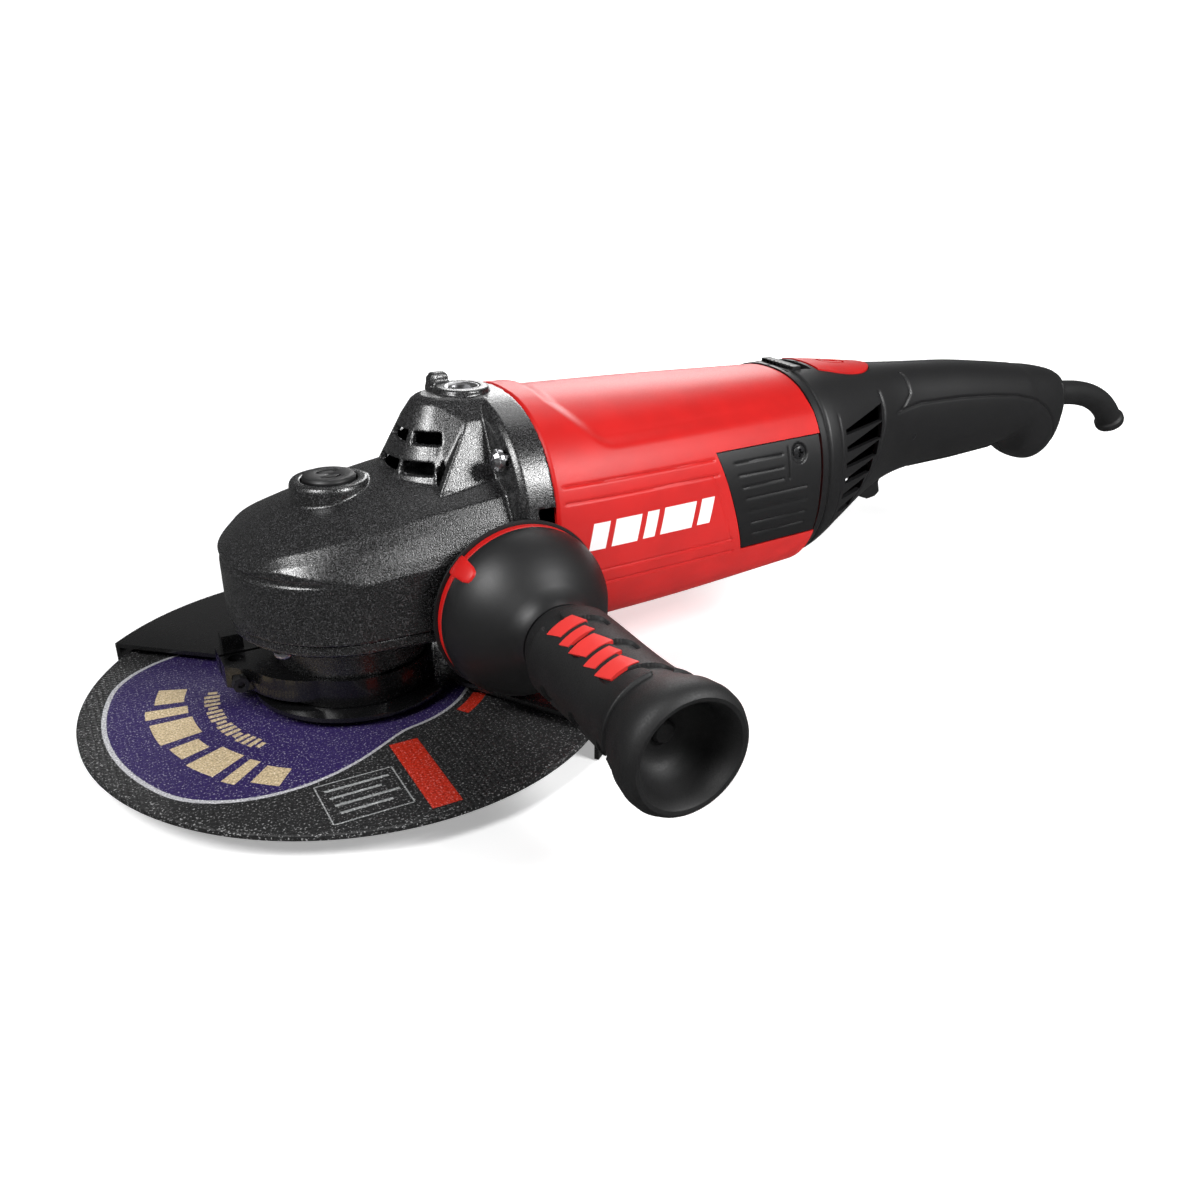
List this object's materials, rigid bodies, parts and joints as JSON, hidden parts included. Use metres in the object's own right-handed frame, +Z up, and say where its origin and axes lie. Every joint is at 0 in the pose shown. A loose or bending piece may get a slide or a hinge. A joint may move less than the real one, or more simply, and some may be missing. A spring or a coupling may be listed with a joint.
{
  "type": "angle grinder",
  "caption": "Large two-handed angle grinder with a cutting disc, swivelling guard, bell-flanged side handle and swivelling rear handle with a paddle trigger.",
  "frame": {"origin": "centre of the spindle's flat end face, at the bottom of the tool", "axes": "+Z up along the spindle, +X back along the motor towards the rear handle, the side handle points along -Y"},
  "size_m": [0.6164, 0.306, 0.143],
  "materials": {
    "cast_housing": "dark grey metallic paint on cast aluminium, semi-gloss",
    "red_plastic": "satin red glass-filled nylon",
    "black_plastic": "finely textured black nylon",
    "black_rubber": "matte black rubber",
    "zinc_screws": "bright zinc-plated steel",
    "bearing_steel": "ground and turned steel",
    "guard_steel": "gloss black powder coat on sheet steel",
    "laminated_steel": "stacked electrical steel sheets",
    "copper_winding": "varnished copper wire",
    "brass": "stamped brass",
    "carbon": "dull carbon",
    "cutting_disc": "resin-bonded abrasive with a glass-fibre mesh and printed areas"
  },
  "bodies": {
    "tool_body": {"gear_housing": "cast_housing", "gearbox_cover": "cast_housing", "cover_screw_1": "zinc_screws", "cover_screw_2": "zinc_screws", "cover_screw_3": "zinc_screws", "cover_screw_4": "zinc_screws", "housing_screw_1": "zinc_screws", "housing_screw_2": "zinc_screws", "housing_screw_3": "zinc_screws", "housing_screw_4": "zinc_screws", "spindle_bearing": "bearing_steel", "spindle_bush": "brass", "front_bearing": "bearing_steel", "rear_bearing": "bearing_steel", "motor_housing": "red_plastic", "fan_baffle": "black_plastic", "stator_core": "laminated_steel", "field_coil_upper": "copper_winding", "field_coil_lower": "copper_winding", "brush_holder_right": "brass", "carbon_brush_right": "carbon", "brush_spring_right": "bearing_steel", "brush_cover_right": "black_plastic", "brush_cover_screw_right": "zinc_screws", "brush_holder_left": "brass", "carbon_brush_left": "carbon", "brush_spring_left": "bearing_steel", "brush_cover_left": "black_plastic", "brush_cover_screw_left": "zinc_screws", "swivel_ring": "black_plastic", "side_handle_stud": "bearing_steel", "side_handle_ring": "red_plastic", "side_handle_flange": "black_plastic", "side_handle_grip": "black_rubber", "lock_spring": "bearing_steel"},
    "armature": {"armature_shaft": "bearing_steel", "pinion_gear": "bearing_steel", "rotor_core": "laminated_steel", "rotor_winding": "copper_winding", "commutator": "copper_winding", "fan": "black_plastic"},
    "spindle_group": {"spindle": "bearing_steel", "crown_gear": "bearing_steel", "inner_flange": "bearing_steel", "cutting_disc": "cutting_disc", "flange_nut": "bearing_steel"},
    "guard": {"guard_shell": "guard_steel", "guard_band": "guard_steel", "clamp_screw": "zinc_screws", "clamp_nut": "zinc_screws"},
    "lock_button": {"lock_button": "black_plastic"},
    "rear_handle": {"handle_shell_right": "black_plastic", "handle_shell_left": "black_plastic", "handle_badge": "red_plastic", "handle_screw": "zinc_screws", "switch_module": "black_plastic", "cord_sleeve": "black_rubber"},
    "handle_lock": {"handle_lock_tab": "black_plastic"},
    "trigger": {"trigger_paddle": "black_plastic"},
    "lock_off": {"lock_off_lever": "black_plastic"}
  },
  "joints": [
    {"name": "spindle_spin", "type": "hinge", "parent": "tool_body", "child": "spindle_group", "pos_m": [0, 0, 0], "axis": [0, 0, 1], "continuous": true},
    {"name": "armature_spin", "type": "hinge", "parent": "tool_body", "child": "armature", "pos_m": [0.022, 0, 0.0806], "axis": [1, 0, 0], "continuous": true},
    {"name": "guard_turn", "type": "hinge", "parent": "tool_body", "child": "guard", "pos_m": [0, 0, 0.0172], "axis": [0, 0, 1], "range_deg": [-60, 60]},
    {"name": "spindle_lock", "type": "slide", "parent": "tool_body", "child": "lock_button", "axis": [0, 0, -1], "range_m": [0, 0.0045], "stiffness_N_per_m": 700, "springref_m": -0.004, "deforming": ["lock_spring"]},
    {"name": "handle_swivel", "type": "hinge", "parent": "tool_body", "child": "rear_handle", "pos_m": [0.2195, 0, 0.0806], "axis": [1, 0, 0], "range_deg": [-90, 90]},
    {"name": "handle_lock_slide", "type": "slide", "parent": "rear_handle", "child": "handle_lock", "axis": [1, 0, 0], "range_m": [0, 0.005], "stiffness_N_per_m": 400, "springref_m": -0.004},
    {"name": "trigger_pull", "type": "hinge", "parent": "rear_handle", "child": "trigger", "pos_m": [0.386, 0, 0.076], "axis": [0, 1, 0], "range_deg": [0, 4.5], "stiffness_Nm_per_rad": 2, "springref_deg": -14.32},
    {"name": "lock_off_turn", "type": "hinge", "parent": "rear_handle", "child": "lock_off", "pos_m": [0.2945, 0, 0.0667], "axis": [0, 1, 0], "range_deg": [0, 20], "stiffness_Nm_per_rad": 0.05, "springref_deg": -17.19}
  ],
  "couplings": [
    {"joint": "armature_spin", "follows": "spindle_spin", "ratio": 3.3636}
  ]
}
